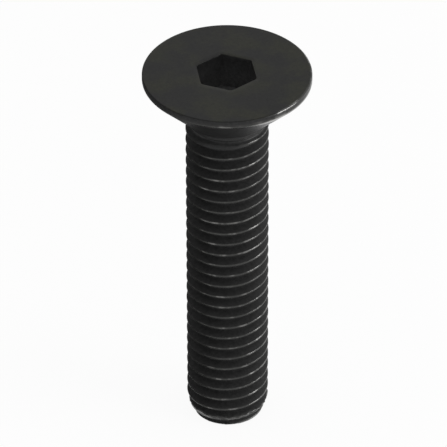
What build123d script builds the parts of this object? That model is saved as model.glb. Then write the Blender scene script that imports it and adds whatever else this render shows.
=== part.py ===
from build123d import *
import os
from math import radians, tan

# A countersunk socket screw, M8 x 40, threaded right up to its head.
# It is one piece of steel: the head is forged, the socket is punched into it,
# and the thread is rolled on the shank. It stands on its tip, with the head up.
# The shank here has the diameter over the thread's crests. The thread is not cut into it.
# Frame: millimetres, Z up, origin at the middle of the flat tip.

# ---------------------------------------------------------------- head
length = 39.5              # from the flat tip to the face of the head, 39.5 to 40.5 in the standard
head_diameter = 16.0
countersink_angle = 90.0   # whole angle of the seat under the head
rim_height = 0.66          # upright rim between the face and the seat
rim_round = 0.2            # from the face to the upright side of the rim
seat_chamfer = 0.06        # softened edge between the rim and the seat

# -------------------------------------------------------------- socket
key_size = 5.1             # across the flats, for a 5 mm key
key_depth = 3.5            # how far the six flats go down
point_angle = 120.0        # whole angle of the punch's point, at the bottom
mouth_chamfer = 0.05       # where the punch pulled the mouth down
socket_turn = 39.0         # degrees from +X to a corner of the socket
socket_offset = 0.12       # off the middle towards +Y, up to 0.27 in the standard

# ----------------------------------------------------- shank, neck, tip
crest_diameter = 7.9       # an M8 thread measures 7.76 to 7.97 over its crests
neck_relief = 0.15         # how far the neck lies inside the crests
neck_height = 0.65         # plain neck under the seat
shoulder_height = 1.2      # taper from the neck out to the crests
neck_fillet = 0.5          # between the seat and the neck
tip_relief = 0.65          # how far the rim of the tip lies inside the crests
tip_height = 1.4           # height of the tapered tip
tip_chamfer = 0.12         # softened rim of the flat tip

# ---------------------------------------------------------- worked out
head_radius = head_diameter / 2
crest_radius = crest_diameter / 2
neck_radius = crest_radius - neck_relief
tip_radius = crest_radius - tip_relief
seat_slope = tan(radians(countersink_angle / 2))
rim_bottom = length - rim_height
seat_bottom = rim_bottom - (head_radius - neck_radius) / seat_slope
neck_bottom = seat_bottom - neck_height
shoulder_bottom = neck_bottom - shoulder_height


def outline():
    """Half of the screw's section, from the axis out, in the plane through the axis."""
    corners = {
        "axis at the tip": (0, 0),
        "rim of the tip": (tip_radius, 0),
        "top of the tip": (crest_radius, tip_height),
        "top of the shank": (crest_radius, shoulder_bottom),
        "bottom of the neck": (neck_radius, neck_bottom),
        "bottom of the seat": (neck_radius, seat_bottom),
        "edge of the seat": (head_radius, rim_bottom),
        "edge of the face": (head_radius, length),
        "axis at the face": (0, length),
    }
    section = make_face(Plane.XZ * Polyline(*corners.values(), close=True))

    def corner(name):
        x, z = corners[name]
        return section.vertices().sort_by_distance((x, 0, z))[0]

    section = fillet(corner("bottom of the seat"), neck_fillet)
    section = fillet(corner("edge of the face"), rim_round)
    section = chamfer(corner("edge of the seat"), seat_chamfer)
    return chamfer(corner("rim of the tip"), tip_chamfer)


def socket():
    """The hexagon and the conical bottom that the punch leaves."""
    hexagon = RegularPolygon(key_size / 2, 6, major_radius=False)
    flats = extrude(Pos(0, 0, length) * hexagon, -key_depth)
    point = Pos(0, 0, length - key_depth) * Cone(
        0,
        key_size / 2,
        key_size / 2 / tan(radians(point_angle / 2)),
        align=(Align.CENTER, Align.CENTER, Align.MAX),
    )
    return Pos(0, socket_offset, 0) * Rot(0, 0, socket_turn) * (flats + point)


def screw():
    """The turned form with its socket, the mouth of which is chamfered."""
    body = revolve(outline(), Axis.Z) - socket()
    face = body.faces().filter_by(Plane.XY).sort_by(Axis.Z)[-1]
    return chamfer(face.inner_wires()[0].edges(), mouth_chamfer)


os.makedirs("parts", exist_ok=True)
part = screw()
part.label = "screw"
export_step(part, "parts/screw.step")
box = part.bounding_box().size
print(f"screw: {part.volume:.1f} mm3, {box.X:.2f} x {box.Y:.2f} x {box.Z:.2f} mm")
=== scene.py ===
# %% [markdown]
# # A countersunk socket screw in black oxide steel
#
# The screw is an M8 machine screw with a flat head and a hexagon socket, threaded right up to
# its head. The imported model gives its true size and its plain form. This file gives it the
# rolled thread, the softened edges of a forged and punched head, and the black oxide finish.
# Blender counts in metres, but a screw is drawn in millimetres, so the cells work in
# millimetres and scale each mesh once, when it is made. Sides are named as the camera sees
# them: -Y is the front and +X is the right.

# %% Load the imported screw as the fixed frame
from math import cos, pi, radians, sin, sqrt, tan

import bmesh
import bpy
import numpy as np
from mathutils import Matrix, Vector, noise


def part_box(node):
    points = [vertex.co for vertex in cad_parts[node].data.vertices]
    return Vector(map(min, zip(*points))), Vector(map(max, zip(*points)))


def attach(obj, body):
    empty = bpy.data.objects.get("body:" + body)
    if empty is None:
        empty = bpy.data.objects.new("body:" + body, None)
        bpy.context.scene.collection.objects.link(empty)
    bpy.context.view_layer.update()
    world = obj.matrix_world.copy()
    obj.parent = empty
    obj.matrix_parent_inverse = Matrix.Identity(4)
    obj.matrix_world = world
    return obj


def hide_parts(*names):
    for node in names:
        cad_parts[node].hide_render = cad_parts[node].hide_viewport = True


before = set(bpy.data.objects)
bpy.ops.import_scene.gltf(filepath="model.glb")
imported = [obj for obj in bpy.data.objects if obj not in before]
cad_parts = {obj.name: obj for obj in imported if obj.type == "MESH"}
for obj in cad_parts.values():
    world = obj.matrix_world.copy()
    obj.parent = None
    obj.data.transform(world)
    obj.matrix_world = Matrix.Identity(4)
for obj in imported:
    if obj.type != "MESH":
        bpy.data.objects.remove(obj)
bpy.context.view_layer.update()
MM = 0.001
far_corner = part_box("screw")[1]
length = far_corner.z / MM
head_radius = far_corner.x / MM
print(f"packed screw: {length:.2f} mm long, {2 * head_radius:.2f} mm over the head")

# %% [markdown]
# ## The camera
#
# The screw stands on its tip and is seen from above, so that the face of the head, the socket
# and the whole thread show at once. A short lens would make the head look far larger than the
# tip. The long lens here, from about half a metre away, keeps them nearly in proportion. The
# camera is placed by its height angle and its distance, and aimed at a point on the shank.

# %% Place the camera
view_elevation = radians(34.982)
view_distance = 503.27
lens_length = 432.51
aim_side = -0.367
aim_below_face = 17.577
roll = radians(-0.125)


def look_at(thing, place, target, turn=0.0):
    """Puts a camera or a lamp at a place, in millimetres, with its front towards the target."""
    direction = Vector(target) - Vector(place)
    aim = direction.to_track_quat("-Z", "Y").to_matrix().to_4x4()
    moved = Matrix.Translation(Vector(place) * MM)
    thing.matrix_world = moved @ aim @ Matrix.Rotation(turn, 4, "Z")


camera = bpy.data.objects.new("camera", bpy.data.cameras.new("camera"))
bpy.context.scene.collection.objects.link(camera)
camera.data.sensor_width = 36
camera.data.lens = lens_length
camera.data.clip_start = 0.01
camera.data.clip_end = 20
forward = view_distance * cos(view_elevation)
above = length + view_distance * sin(view_elevation)
look_at(camera, (0, -forward, above), (aim_side, 0, length - aim_below_face), roll)
bpy.context.scene.camera = camera
print(f"camera: {forward:.0f} mm in front and {above:.0f} mm up")

# %% [markdown]
# ## The blank
#
# A screw starts as a blank: a plain turned form with a head, before any thread is rolled on it.
# Here it is a function that gives the radius of the blank at a height. The shank has the
# diameter over the crests. Above it the radius falls to that of the neck, because the dies
# press less metal up there. That shoulder climbs to the right, as the thread does. At the tip
# the radius falls to the small flat end. A smooth minimum joins two slopes with a small round,
# as real edges have. The functions take whole arrays, so that one call answers for every point
# of the skin. Angles are in turns, from 0 at the front towards the right.

# %% The blank's radius at each height
crest_radius = 3.95
neck_radius = 3.80
seat_bottom = length - 4.86
neck_bottom = seat_bottom - 0.35
shoulder_bottom = neck_bottom - 0.60
shoulder_climb = 0.38
tip_radius = 3.43
tip_height = 1.40
tip_round = 0.08
taper_round = 0.12


def smooth_min(a, b, blend):
    """The smaller of two values, with a round of about that width where they cross."""
    near = np.clip(1 - np.abs(a - b) / blend, 0, 1)
    return np.minimum(a, b) - near * near * blend / 4


def ramp(value, start, end):
    """0 before start, 1 after end, and a smooth step between them."""
    t = np.clip((value - start) / (end - start), 0, 1)
    return t * t * (3 - 2 * t)


def neck_share(angle, height):
    """1 on the neck, 0 on the shank, and a smooth step over the shoulder between them."""
    return ramp(height - shoulder_climb * np.sin(2 * pi * angle), shoulder_bottom, neck_bottom)


def blank_radius(angle, height):
    """The radius of the shank, neck and tip before the thread is rolled."""
    shank = crest_radius + (neck_radius - crest_radius) * neck_share(angle, height)
    tip = tip_radius + (crest_radius - tip_radius) * height / tip_height
    edge = np.clip(1 - height / tip_round, 0, 1)
    tip = tip - tip_round * (1 - np.sqrt(1 - edge * edge))
    return smooth_min(shank, tip, taper_round)


heights = np.array([0.0, tip_height, length / 2, seat_bottom])
print("blank radius:", blank_radius(0.0, heights).round(3), "mm at", heights.round(1), "mm")

# %% [markdown]
# ## The rolled thread
#
# A metric thread is a groove with 60 degrees between its flanks, which climbs 1.25 mm in each
# turn. Rolling dies press it in, so its root is round, its crests are a little uneven, and it
# gets shallow and dies out under the head, where the dies end. A Screw modifier could sweep the
# profile, but it could not fade the groove out at the neck or let it run off the tapered tip.
# So the thread is a second radius function, and the skin is wherever blank or groove is smaller.

# %% The groove's radius at each angle and height
pitch = 1.25
first_crest = length - 5.955
root_round = 0.16
root_radius = 3.16
flank_slope = 1 / tan(radians(30))
last_groove = first_crest + pitch / 2
highest_groove = length - 5.42


def groove_radius(angle, height):
    """How far out the dies leave the steel, from the nearest turn of the groove."""
    turns = (height - last_groove) / pitch - angle
    beyond = np.minimum(np.round(turns), 0) + angle
    centre = np.minimum(last_groove + pitch * beyond, highest_groove)
    aside = np.abs(height - centre)
    sharp = root_radius - root_round
    in_round = sharp + 2 * root_round - np.sqrt(np.maximum(root_round**2 - aside**2, 0))
    tangent = root_round * cos(radians(30))
    groove = np.where(aside < tangent, in_round, sharp + aside * flank_slope)
    # The last teeth of the dies are ground shallower, so the groove ends in two steps.
    fade = 0.55 * ramp(beyond, -0.35, 0.0) + 0.45 * ramp(beyond, 0.10, 0.40)
    return groove + fade * (crest_radius - root_radius)


middle_crest = first_crest - 10 * pitch
middle_root = middle_crest + pitch / 2
groove_depth = crest_radius - float(groove_radius(0.0, middle_root))
print(f"thread: {pitch} mm pitch, {groove_depth:.2f} mm deep")

# %% [markdown]
# ## Uneven crests
#
# Under a lens no crest is a perfect line. The steel flows up between the dies and stops where
# it will, about a hundredth of a millimetre more here than there, and at the tip, where the dies
# meet thin air, the last crest is ragged and lapped. Smooth noise read on a cylinder gives
# that, and closes on itself round the shank. The same step says how bare each point has been
# rubbed: 0 is untouched oxide, 1 is worn through, and above 1 more bare steel shows. On the
# right, where the lamp glints, more bare steel is added as a painted glint. It goes on the mesh
# as an attribute, which the finish reads.

# %% Smooth noise on the shank, and the band of the ragged crest
slow_size, slow_seed = 0.9, 3.0
fast_size, fast_seed = 0.3, 8.0
crest_height = 0.010
ragged_height = 0.085
ragged_from, ragged_to = 0.75, 1.55
ragged_fade_in, ragged_fade_out = 0.15, 0.30


def wobble(angle, height, size, seed):
    """Smooth noise on the shank, from -1 to 1, with bumps of about that size in millimetres."""
    turn = 2 * pi * angle
    place = crest_radius * np.stack([np.sin(turn), -np.cos(turn), height / crest_radius], -1) / size
    return np.array([noise.noise(Vector(p) + Vector((seed, 0, 0))) for p in place])


def near_tip(height):
    """1 in the band of the ragged crest, which runs round the taper of the tip."""
    above = ramp(height, ragged_from - ragged_fade_in, ragged_from)
    return above * (1 - ramp(height, ragged_to, ragged_to + ragged_fade_out))


print(f"crests: {crest_height} mm uneven, and {ragged_height} mm where the last one is ragged")


# %% The finished skin of the shank, how rubbed it is, and its painted glint
def shank_skin(angle, height):
    """The finished radius at each point of the shank, and how rubbed it is, with painted glint on
    the right.
    """
    blank = blank_radius(angle, height)
    groove = groove_radius(angle, height)
    ragged = near_tip(height)
    slow = wobble(angle, height, slow_size, slow_seed)
    fast = wobble(angle, height, fast_size, fast_seed)
    lift = crest_height * (slow + 0.6 * fast - 0.4)
    lift = lift + ragged * ragged_height * (fast + 0.5 * slow - 0.35)
    crest = np.where(height > neck_bottom, blank, np.minimum(blank + lift, crest_radius))
    neck = neck_share(angle, height)
    radius = smooth_min(crest, groove, 0.05 + 0.04 * neck)
    # Only the flat tops are rubbed. On the right, where the lamp glints, they get a little more
    # bare steel, and the topmost turn is bare almost only there: that is a painted glint.
    spread = 1 - 0.7 * neck
    beside = 1 - ramp((groove - blank) / spread, 0.18, 0.45)
    around = angle - np.round(angle)
    top_turn = ramp(height - first_crest - pitch * around, -0.6, -0.2)
    painted_glint_side = ramp(np.sin(2 * pi * angle), 0.20, 0.50)
    land = (1 - ramp(crest - radius, 0.012, 0.05)) * beside * (1 + 0.05 * painted_glint_side)
    land = land * (1 - top_turn * (1 - 0.8 * painted_glint_side))
    # The ragged crest is rubbed wherever it stands up.
    frayed = ragged * (1 - ramp(crest - radius, 0.02, 0.12)) * ramp(fast, -0.35, 0.25)
    return radius, np.maximum(land, frayed)


radii, rubs = shank_skin(np.zeros(2), np.array([middle_crest, middle_root]))
print("crest and root: radius", radii.round(2), "mm, rubbed", rubs.round(2))

# %% [markdown]
# ## The skin of the shank
#
# If the rows of the mesh were level rings, each crest would cross them at a slant and its edge
# would look like a staircase. Here the rows climb with the thread: row after row follows the
# root, the flanks and the crest. At the end of a turn each row joins the row one pitch higher.
# At the tip and the neck the rows that pass the end are pressed flat into one level ring, which
# the next part of the skin can start from. The columns start at a corner of the socket, whose
# corners then all have a column of their own.

# %% Points, rings and bands
columns = 144
corner_turn = 9.0
first_column = corner_turn / 360
angles = first_column + np.arange(columns) / columns
points = []
rubbed_and_glint = []
faces = []


def add_points(angle, radius, height, rub_and_glint=0.0, centre=(0.0, 0.0)):
    """Adds points round the axis, or round a centre a little off it. Returns their numbers."""
    start = len(points)
    turn = 2 * pi * np.asarray(angle)
    points.extend(zip(centre[0] + radius * np.sin(turn), centre[1] - radius * np.cos(turn), height))
    rubbed_and_glint.extend(rub_and_glint * np.ones(len(turn)))
    return list(range(start, len(points)))


def ring(radius, height, rub_and_glint=0.0, centre=(0.0, 0.0)):
    """A level ring with one point for each column."""
    return add_points(angles, radius * np.ones(columns), height * np.ones(columns), rub_and_glint, centre)


def join(lower, upper):
    """A band of four-sided faces between two rings."""
    for i in range(columns):
        k = (i + 1) % columns
        faces.append((lower[i], lower[k], upper[k], upper[i]))


def carry_on(last, rings):
    """Joins ring after ring to the skin, each to the one before. Returns the last of them."""
    for following in rings:
        join(last, following)
        last = following
    return last


print(f"rings: {columns} points, the first {corner_turn:.0f} degrees from the front")

# %% Rows that climb with the thread
# From a root to the next crest, closest together where the surface turns over at the crest.
half_profile = (0.0, 0.07, 0.139, 0.25, 0.36, 0.45, 0.515, 0.537, 0.558, 0.585)
profile = list(half_profile) + [pitch / 2] + [pitch - s for s in reversed(half_profile[1:])]
rows_per_turn = len(profile)
fillet_reach = 0.21
shank_top = seat_bottom - fillet_reach


def level_ring(height):
    """A level ring of the shank's own skin."""
    radius, rub_and_glint = shank_skin(angles, np.full(columns, height))
    return ring(radius, height, rub_and_glint)


def climbing_skin(bottom, top):
    """The thread's surface between two heights. Returns its lowest and its highest ring."""
    # The rows start below the lower end and stop above the upper one.
    turns = int(top / pitch) + 4
    start = last_groove - pitch * (turns - 2)
    rows = np.array([start + pitch * t + s for t in range(turns) for s in profile])
    height = rows[:, None] + pitch * angles[None, :]
    # Points past an end, or within about half a row of it, become points of its level ring.
    spare = np.gradient(rows)[:, None] * 0.45
    below = height <= bottom + spare
    over = height >= top - spare
    ends = level_ring(bottom), level_ring(top)
    number = np.where(below, ends[0], ends[1])
    inside = ~(below | over)
    angle = np.broadcast_to(angles, height.shape)[inside]
    radius, rub_and_glint = shank_skin(angle, height[inside])
    number[inside] = add_points(angle, radius, height[inside], rub_and_glint)
    for r in range(len(rows) - rows_per_turn - 1):
        for i in range(columns):
            k, up = (i + 1, 0) if i + 1 < columns else (0, rows_per_turn)
            corners = (number[r, i], number[r + up, k], number[r + up + 1, k], number[r + 1, i])
            corners = tuple(int(c) for n, c in enumerate(corners) if c != corners[n - 1])
            if len(corners) > 2:
                faces.append(corners)
    return ends


tip_ring, neck_ring = climbing_skin(0.0, shank_top)
print(f"shank: {len(points)} points, {len(faces)} faces")

# %% [markdown]
# ## The head
#
# The head is forged from the same wire and then turned true: a cone for the countersink, a
# narrow upright rim and a flat face. Its section is a line with a few corners, and every corner
# has a small round, because a perfectly sharp edge never catches the light. Lathe work is
# seldom quite square: the seat leans a little, so the rim is taller on the right. The rings of
# the section go on from the neck's ring, column by column, so head and shank are one skin. The
# two edges of the rim have been rubbed. They carry more bare steel on the right, where the lamp
# glints, and the edge of the face has bare steel only at the far right: that is a painted glint.

# %% Section of the head, from the neck to the face
rim_height = 0.66
neck_fillet = 0.50
seat_edge_round = 0.12
face_edge_round = 0.13


def rounded(corners, steps=5):
    """An arc for each inner corner of a line through (radius, height, round) corners."""
    arcs = []
    for before, corner, after in zip(corners, corners[1:], corners[2:]):
        at = Vector(corner[:2])
        first = (Vector(before[:2]) - at).normalized()
        second = (Vector(after[:2]) - at).normalized()
        half = first.angle(second) / 2
        reach = corner[2] / tan(half)
        centre = at + (first + second).normalized() * (corner[2] / sin(half))
        start = at + first * reach - centre
        end = at + second * reach - centre
        turns = [start.lerp(end, s / steps).normalized() for s in range(steps + 1)]
        arcs.append([centre + turn * corner[2] for turn in turns])
    return arcs


def along(start, end, parts):
    """Points that divide a straight stretch, without its ends."""
    return [start.lerp(end, s / parts) for s in range(1, parts)]


fillet, seat_edge, face_edge = rounded(
    [
        (neck_radius, shank_top, 0),
        (neck_radius, seat_bottom, neck_fillet),
        (head_radius, length - rim_height, seat_edge_round),
        (head_radius, length, face_edge_round),
        (0, length, 0),
    ]
)
face_radius = face_edge[-1].x
print(f"head: rim {rim_height} mm tall, flat face {2 * face_radius:.2f} mm across")

# %% Rings of the head, each with how rubbed it is and its painted glint
seat_rings = 9
rim_rings = 4
seat_lean = 0.07
rightness = np.sin(2 * pi * angles)
# Painted glint: more bare steel on the right of the rim, and on the face edge only at the far
# right.
painted_glint_side = ramp(rightness, 0.10, 0.60)
painted_glint_far_right = ramp(rightness, 0.50, 0.64)
rim_rubs_and_glints = (0.4 + 0.7 * painted_glint_side, 0.1 + 0.3 * painted_glint_side, 0.0)
stations = [(p, 0.0) for p in fillet[1:] + along(fillet[-1], seat_edge[0], seat_rings)]
stations += [(p, 1.0 + 0.9 * painted_glint_side) for p in seat_edge]
stations += list(zip(along(seat_edge[-1], face_edge[0], rim_rings), rim_rubs_and_glints))
stations += [(p, 1.1 * painted_glint_far_right) for p in face_edge]


def head_ring(place, rub_and_glint):
    """A ring of the head, which leans most at the lower edge of the rim."""
    out = (place.x - neck_radius) / (head_radius - neck_radius)
    down = (length - place.y) / rim_height
    lean = seat_lean * min(out, down, 1.0)
    return ring(place.x, place.y - lean * rightness, rub_and_glint)


face_rim = carry_on(neck_ring, (head_ring(place, rub_and_glint) for place, rub_and_glint in stations))
print(f"head: {len(stations)} rings")

# %% [markdown]
# ## The socket
#
# The hexagon is punched cold into the head, here a little off the middle, as the standard
# allows. The punch draws the mouth a little wider than the rest, leaves small rounds in the six
# corners and at the edge, and a cone at the bottom. The rings change from round to hexagonal on
# their way across the flat face. Six of the columns were placed on the corners of the hexagon
# from the start, so its edges stay straight.

# %% The socket's shape
key_size = 5.14
key_depth = 3.50
socket_offset = np.array([-0.07, 0.12])
mouth_round = 0.04
mouth_draw = 0.12
draw_depth = 0.8
corner_cut = 0.03
corner_round = 0.10
point_ledge = 0.06
point_slope = 1 / tan(radians(60))


def hexagon(across):
    """The radius of a hexagon in each column, for its width across the flats."""
    side = (angles - first_column) % (1 / 6) - 1 / 12
    flat = across / 2 / np.cos(2 * pi * side)
    return smooth_min(flat, np.full(columns, across / sqrt(3) - corner_cut), corner_round)


def socket_width(depth):
    """The width of the socket across its flats at a depth below the face."""
    return key_size + mouth_draw * (1 - ramp(depth, 0, draw_depth))


print(f"socket: {socket_width(0):.2f} mm over the flats at its mouth, {key_size} mm below it")

# %% Rings from the face down into the socket
# The first two rings lie close to the edge, so that its rubbing and painted glint don't spread over
# the face.
face_shares = [0.01, 0.03] + [tenths / 10 for tenths in range(1, 11)]
mouth_steps = 4
wall_steps = 13
point_radius = key_size / 2 - point_ledge
mouth_turns = [step / mouth_steps * pi / 2 for step in range(1, mouth_steps + 1)]
wall_depths = np.linspace(mouth_round, key_depth, wall_steps + 1)[1:]
point_radii = point_radius * np.array([1, 0.8, 0.6, 0.4, 0.2])
mouth = hexagon(socket_width(0) + 2 * mouth_round)


def face_ring(share):
    """A ring on the flat face, with share 0 at its outer edge and 1 at the socket's mouth."""
    return ring(face_radius + (mouth - face_radius) * share, length, 0, socket_offset * share)


def mouth_ring(turn):
    """A ring on the small round between the face and the socket's wall."""
    across = socket_width(0) + 2 * mouth_round * (1 - sin(turn))
    return ring(hexagon(across), length - mouth_round * (1 - cos(turn)), 0, socket_offset)


def wall_ring(depth):
    """A ring on the six flats."""
    return ring(hexagon(socket_width(depth)), length - depth, 0, socket_offset)


def point_ring(radius):
    """A ring on the cone at the bottom."""
    depth = key_depth + (point_radius - radius) * point_slope
    return ring(radius, length - depth, 0, socket_offset)


mouth_edge = carry_on(face_rim, map(face_ring, face_shares))
wall_top = carry_on(mouth_edge, map(mouth_ring, mouth_turns))
wall_foot = carry_on(wall_top, map(wall_ring, wall_depths))
point_end = carry_on(wall_foot, map(point_ring, point_radii))
print(f"socket: {key_depth:.2f} mm deep to the cone at its bottom")


# %% Close the two ends of the skin
def close(edge, height, upward, centre=(0.0, 0.0)):
    """A fan of three-sided faces from a ring to a point in its middle."""
    hub = add_points([0.0], np.zeros(1), np.array([height]), 0, centre)[0]
    for i in range(columns):
        k = (i + 1) % columns
        faces.append((edge[i], edge[k], hub) if upward else (edge[k], edge[i], hub))


close(point_end, length - key_depth - point_radius * point_slope, True, socket_offset)
inner_tip = ring(0.8 * tip_radius, 0.0)
join(inner_tip, tip_ring)
close(inner_tip, 0.0, False)
print(f"skin: {len(points)} points, {len(faces)} faces")

# %% [markdown]
# ## One clean mesh
#
# The points and faces become one closed mesh, with the rubbing and painted glint as an attribute of
# its points.
# Shading is smooth everywhere but across the few truly sharp corners, which are marked. An
# edge with only one face would be a hole, so those are counted, and the volume gives a weight
# to compare with a real screw of this size.

# %% Turn the points and faces into one clean mesh
sharp_angle = radians(50)
steel_grams_per_mm3 = 0.00785
mesh = bpy.data.meshes.new("countersunk_screw")
mesh.from_pydata([Vector(p) * MM for p in points], [], faces)
rub_layer = mesh.attributes.new("rubbed_and_glint", "FLOAT", "POINT")
rub_layer.data.foreach_set("value", np.array(rubbed_and_glint, np.float32))
work = bmesh.new()
work.from_mesh(mesh)
loose = [v for v in work.verts if not v.link_faces]
bmesh.ops.delete(work, geom=loose, context="VERTS")
for face in work.faces:
    face.smooth = True
open_edges = [e for e in work.edges if len(e.link_faces) != 2]
sharp = [e for e in work.edges if e.calc_face_angle(0) > sharp_angle]
for edge in sharp:
    edge.smooth = False
volume = work.calc_volume(signed=True) / MM**3
triangles = sum(len(f.verts) - 2 for f in work.faces)
work.to_mesh(mesh)
work.free()
screw = bpy.data.objects.new("countersunk_screw", mesh)
bpy.context.scene.collection.objects.link(screw)
print(f"mesh: {triangles} triangles, {len(open_edges)} open edges, {len(sharp)} sharp")
print(f"weight in steel: {volume * steel_grams_per_mm3:.1f} g")

# %% [markdown]
# ## Shader sums in Python
#
# A material is a tree of nodes, and a sum with three terms already needs several of them. This
# class wraps one output of a node, so that sums can be written as Python expressions: each
# operator adds its node. The method called node adds any other one, its settings first, and
# then the values or wires of its inputs. The last three methods are short names for nodes that
# a finish needs often. A wire with no output is bare, and only starts new nodes. A Mix node
# has a set of sockets for each kind of value, so those for colours go by number.

# %% A wire that can be used in sums
MIX_SHARE, MIX_FIRST, MIX_SECOND, MIX_COLOUR = 0, 6, 7, 2


class Wire:
    """An output of a node. Sums with wires and numbers add the nodes that work them out."""

    def __init__(self, tree, socket=None):
        self.tree = tree
        self.socket = socket

    def node(self, kind, settings=None, inputs=None, output=0):
        """Adds a node: its settings first, then a value or a wire for each input."""
        made = self.tree.nodes.new("ShaderNode" + kind)
        for name, value in (settings or {}).items():
            setattr(made, name, value)
        for name, value in (inputs or {}).items():
            if isinstance(value, Wire):
                self.tree.links.new(value.socket, made.inputs[name])
            else:
                made.inputs[name].default_value = value
        return Wire(self.tree, made.outputs[output] if made.outputs else None)

    def sum(self, operation, first, second):
        """Vector Math for a vector, a Mix for a colour and Math for a value."""
        if self.socket.type == "VECTOR":
            pair = [v if isinstance(v, (Wire, tuple)) else (v, v, v) for v in (first, second)]
            return self.node("VectorMath", {"operation": operation}, dict(enumerate(pair)))
        if self.socket.type == "RGBA":
            settings = {"data_type": "RGBA", "blend_type": operation}
            pair = [v if isinstance(v, (Wire, tuple)) else (v, v, v, 1) for v in (first, second)]
            inputs = {MIX_SHARE: 1.0, MIX_FIRST: pair[0], MIX_SECOND: pair[1]}
            return self.node("Mix", settings, inputs, MIX_COLOUR)
        return self.node("Math", {"operation": operation}, {0: first, 1: second})

    def __add__(self, other):
        return self.sum("ADD", self, other)

    def __radd__(self, other):
        return self.sum("ADD", other, self)

    def __sub__(self, other):
        return self.sum("SUBTRACT", self, other)

    def __rsub__(self, other):
        return self.sum("SUBTRACT", other, self)

    def __mul__(self, other):
        return self.sum("MULTIPLY", self, other)

    def __rmul__(self, other):
        return self.sum("MULTIPLY", other, self)

    def step(self, start, end):
        """0 before start, 1 after end, and a smooth step between them."""
        inputs = {"Value": self, "From Min": start, "From Max": end}
        return self.node("MapRange", {"interpolation_type": "SMOOTHSTEP"}, inputs)

    def between(self, first, second):
        """The first colour where this value is 0, and the second where it is 1."""
        inputs = {MIX_SHARE: self, MIX_FIRST: first, MIX_SECOND: second}
        return self.node("Mix", {"data_type": "RGBA"}, inputs, MIX_COLOUR)

    def clouds(self, size, detail, roughness):
        """Noise from 0 to 1 at this place, with patches of about that size in millimetres."""
        inputs = {"Vector": self, "Scale": 1 / size, "Detail": detail, "Roughness": roughness}
        return self.node("TexNoise", {}, inputs)


def new_material(name):
    """A material with an empty tree. Returns it and a bare wire, from which nodes are added."""
    material = bpy.data.materials.new(name)
    material.use_nodes = True
    material.node_tree.nodes.clear()
    return material, Wire(material.node_tree)


print("wires can be added, taken away and multiplied")

# %% [markdown]
# ## Where on the screw
#
# Object coordinates stay with the screw however it is turned. They are in metres, so they are
# scaled to millimetres once. The other wires follow from them: the height, the distance from
# the axis, and masks that are 1 on the flat face, in the socket, deep in it and on its left
# wall. The radius that marks the socket lies between its corners and the outside of the neck.

# %% Places on the screw
steel, bare = new_material("black_oxide_steel")
place = bare.node("TexCoord", output="Object") * (1 / MM)
height = bare.node("SeparateXYZ", inputs={0: place}, output="Z")
sideways = bare.node("SeparateXYZ", inputs={0: place}, output="X")
from_axis = bare.node("VectorMath", {"operation": "LENGTH"}, {0: place * (1.0, 1.0, 0.0)}, "Value")
on_face = height.step(length - 0.04, length - 0.01)
socket_reach = 3.5
inside = from_axis.step(socket_reach + 0.1, socket_reach - 0.1)
in_socket = inside * height.step(length - 6.0, length - 5.5) * (1.0 - on_face)
deep = 1.0 - height.step(length - key_depth, length)
painted_shade_left_wall = sideways.step(0.0, -0.8) * (1.0 - deep)
rub_and_glint = bare.node("Attribute", {"attribute_name": "rubbed_and_glint"}, output="Fac")
print("places: height, distance from the axis, face, socket, left wall and rubbed edges")

# %% [markdown]
# ## The black oxide
#
# Black oxide is a coat of magnetite a thousandth of a millimetre thick, which is grown in a hot
# bath and then oiled. It is nearly black, a little brown or olive where the coat is thinner or
# the oil has dried, and it keeps the grain of the steel below. It is no paint, so it has no
# thickness to model: colour, gloss and a fine bump do it. The patches are a few millimetres
# wide, the streaks of drawing and rolling run round the shank, and the grain is the finest.
# Deeper in the socket the oxide is painted lighter and greyer, as painted light where the lamps
# hardly reach, and its upper left wall is painted darker, as painted shade against the lamp.

# %% Colour, gloss and grain of the oxide
patch_size = 2.6
speck_size = 0.30
grain_size = 0.05
rings_per_mm = 9.0
streak_stretch = (0.8, 0.8, 14.0)
patches = place.clouds(patch_size, 3.0, 0.55).step(0.38, 0.68)
specks = place.clouds(speck_size, 4.0, 0.75)
streaks = (place * streak_stretch).clouds(1.0, 3.0, 0.6)
ring_noise = {"W": from_axis * rings_per_mm, "Detail": 3.0}
turning = bare.node("TexNoise", {"noise_dimensions": "1D"}, ring_noise)
grain = place.clouds(grain_size, 2.0, 0.6)
cool_black = (0.0162, 0.0162, 0.0162, 1)
face_black = (0.0078, 0.0078, 0.0076, 1)
olive_black = (0.0143, 0.0147, 0.0090, 1)
# Painted light and shade: lighter deeper in the socket, darker on its upper left wall.
painted_socket_light_and_shade = 1.0 + in_socket * (3.1 * deep - 0.55 * painted_shade_left_wall)
black = on_face.between(cool_black, patches.between(face_black, olive_black))
oxide = black * (0.05 + 1.9 * specks) * painted_socket_light_and_shade
print("oxide: patches, specks, streaks, turning rings and grain")

# %% [markdown]
# ## Rubbed edges
#
# Screws are tipped out of the bath and shipped loose in a bag, so their sharpest places rub
# through first: the crests of the thread, the ragged crest at the tip and the edges of the
# head. There the thin coat lets the steel show, which is metallic and picks up the lamp. The
# attribute says where that can be, and a noise breaks it up into longer and shorter streaks,
# because an even bright line would look drawn. Where the attribute is above 1, the edge is
# rubbed to bare steel. On the right side, where the lamp glints, the attribute is raised, so
# part of that bare steel is a painted glint.

# %% Where the steel shows through
worn = (place * (1.0, 1.0, 1.6)).clouds(1.3, 3.0, 0.6)
bright_spots = worn.step(0.50, 0.66)
showing = rub_and_glint * (0.55 + 0.45 * worn.step(0.30, 0.60))
thin_oxide = (0.060, 0.060, 0.058, 1)
bare_steel = (0.420, 0.415, 0.405, 1)
metal = (bright_spots * 0.28 + rub_and_glint.step(1.0, 2.0)).between(thin_oxide, bare_steel)
print("rubbed edges: thin oxide to bare steel")

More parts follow.
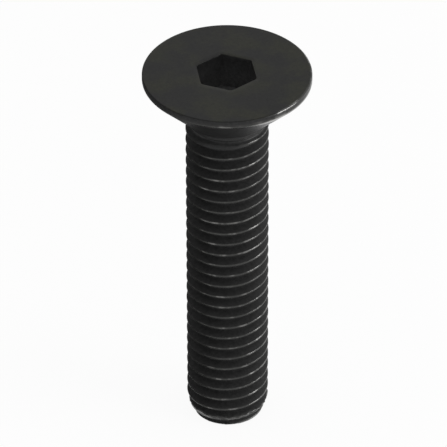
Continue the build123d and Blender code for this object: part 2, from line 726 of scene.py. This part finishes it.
# %% [markdown]
# ## The finish as a whole
#
# One shader carries the oxide and the steel, because they meet without a step. Its metallic
# share follows the rubbing. The oxide is satin, duller where it is speckled, and the rubbed
# places are smoother. The bump is a hundredth of a millimetre deep: fine grain everywhere,
# streaks on the shank and the faint rings of the lathe on the flat face. The oil keeps the
# oxide's shine weak, so the specular level is low.

# %% Put the finish together
oxide_roughness = 0.30
bump_depth = 0.012 * MM
colour = showing.between(oxide, metal)
roughness = oxide_roughness + 0.08 * specks + 0.05 * patches - 0.14 * showing
relief = 0.5 * grain + 0.35 * streaks * (1.0 - on_face) + 0.12 * turning * on_face
bumps = bare.node("Bump", inputs={"Strength": 0.35, "Distance": bump_depth, "Height": relief})
shader = bare.node(
    "BsdfPrincipled",
    inputs={
        "Base Color": colour,
        "Metallic": showing,
        "Roughness": roughness,
        "Normal": bumps,
        "IOR": 1.5,
        "Specular IOR Level": 0.16,
    },
)
bare.node("OutputMaterial", inputs={"Surface": shader})
mesh.materials.append(steel)
print("finish:", len(steel.node_tree.nodes), "nodes")

# %% [markdown]
# ## The floor
#
# The screw stands on white paper. The paper is an ordinary matt white surface, so the screw's
# soft shadow falls on it and its light comes back up under the head. For the camera, and for
# reflections in the steel, most of it is swapped for an even white with a Light Path node, so
# the ground is white without a lamp that would be too strong for the screw.

# %% White paper under the screw
paper, bare = new_material("white_paper")
camera_ray = bare.node("LightPath", output="Is Camera Ray")
glossy_ray = bare.node("LightPath", output="Is Glossy Ray")
clear_ray = bare.node("LightPath", output="Is Transmission Ray")
even_share = 0.92
matt = bare.node("BsdfDiffuse", inputs={"Color": (0.85, 0.85, 0.85, 1)})
white = bare.node("Emission", inputs={"Color": (1, 1, 1, 1), "Strength": 1.0})
evened = even_share * (camera_ray + glossy_ray + clear_ray)
both = bare.node("MixShader", inputs={0: evened, 1: matt, 2: white})
bare.node("OutputMaterial", inputs={"Surface": both})


def flat_sheet(name, corners, material):
    """A sheet through corners given in millimetres. It is part of the stage, not of the screw."""
    sheet_mesh = bpy.data.meshes.new(name)
    sheet_mesh.from_pydata([Vector(c) * MM for c in corners], [], [tuple(range(len(corners)))])
    sheet_mesh.materials.append(material)
    sheet = bpy.data.objects.new(name, sheet_mesh)
    bpy.context.scene.collection.objects.link(sheet)
    return sheet


paper_reach = 4000.0
sides = ((-1, -1), (1, -1), (1, 1), (-1, 1))
flat_sheet("floor", [(x * paper_reach, y * paper_reach, 0) for x, y in sides], paper)
print(f"floor: white paper, {2 * paper_reach * MM:.0f} m square")

# %% [markdown]
# ## The studio
#
# Against a white ground a shiny black thing is drawn by what it reflects. The room is white low
# down and greyer overhead, so the face, which mirrors the wall behind, is lighter than the
# flanks of the thread, which mirror the ceiling. A soft lamp at the right puts thin bright
# lines on the crests and on the rim. At the left are two dark grey cards, as used for metal:
# one stands there as a wall, and one lies as a foot just over the floor, close to the screw.
# They are seen only in reflections, and keep that side dark. The foot's inner edge slants away
# behind the screw, so the cone under the head, which mirrors the floor there, stays light on
# the right.

# %% The room
world = bpy.data.worlds.new("studio")
world.use_nodes = True
world.node_tree.nodes.clear()
bare = Wire(world.node_tree)
direction = bare.node("TexCoord", output="Generated")
up = bare.node("SeparateXYZ", inputs={0: direction}, output="Z")
camera_ray = bare.node("LightPath", output="Is Camera Ray")
# The camera sees plain white. For all else the grey overhead sets in where a direction climbs
# at 37 degrees, and is full at 59 degrees.
ceiling_start, ceiling_full = 0.60, 0.86
ground_strength = 1.0
wall_strength = 0.95
ceiling_strength = 0.60
overhead = up.step(ceiling_start, ceiling_full) * (1.0 - camera_ray)
strength = wall_strength + (ceiling_strength - wall_strength) * overhead
strength = strength + (ground_strength - wall_strength) * camera_ray
sky = bare.node("Background", inputs={"Color": (1, 1, 1, 1), "Strength": strength})
bare.node("OutputWorld", inputs={"Surface": sky})
bpy.context.scene.world = world
bpy.context.scene.view_settings.view_transform = "Standard"
print("room: walls", wall_strength, "ceiling", ceiling_strength)

# %% The lamp at the right
lamp_place = (418, -125, 112)
lamp = bpy.data.objects.new("right_softbox", bpy.data.lights.new("right_softbox", "AREA"))
bpy.context.scene.collection.objects.link(lamp)
lamp.data.shape = "RECTANGLE"
lamp.data.size = 0.25
lamp.data.size_y = 0.20
lamp.data.energy = 1.47
look_at(lamp, lamp_place, (0, 0, length / 2))
print(f"lamp: {lamp.data.energy:.2f} W, {Vector(lamp_place).length:.0f} mm away")

# %% The dark cards at the left
card, bare = new_material("grey_card")
dark = bare.node("BsdfDiffuse", inputs={"Color": (0.13, 0.13, 0.13, 1)})
bare.node("OutputMaterial", inputs={"Surface": dark})
card_left = -90.0
wall_front, foot_front, card_back = -54.0, -14.0, 260.0
card_height = 160.0
foot_lift = 0.3
foot_edge = [(-5.5, foot_front), (-5.5, 33), (-14, 52), (-45, card_back)]
foot = [(card_left, foot_front), *foot_edge, (card_left, card_back)]
wall = [(wall_front, 0), (card_back, 0), (card_back, card_height), (wall_front, card_height)]
cards = [
    flat_sheet("card_wall", [(card_left, y, z) for y, z in wall], card),
    flat_sheet("card_foot", [(x, y, foot_lift) for x, y in foot], card),
]
for sheet in cards:
    sheet.visible_camera = False
    sheet.visible_diffuse = False
    sheet.visible_transmission = False
    sheet.visible_shadow = False
print("cards:", len(cards), "seen only in reflections")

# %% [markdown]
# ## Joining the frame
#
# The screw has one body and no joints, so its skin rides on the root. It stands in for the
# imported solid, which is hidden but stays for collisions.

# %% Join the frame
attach(screw, "root")
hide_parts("screw")
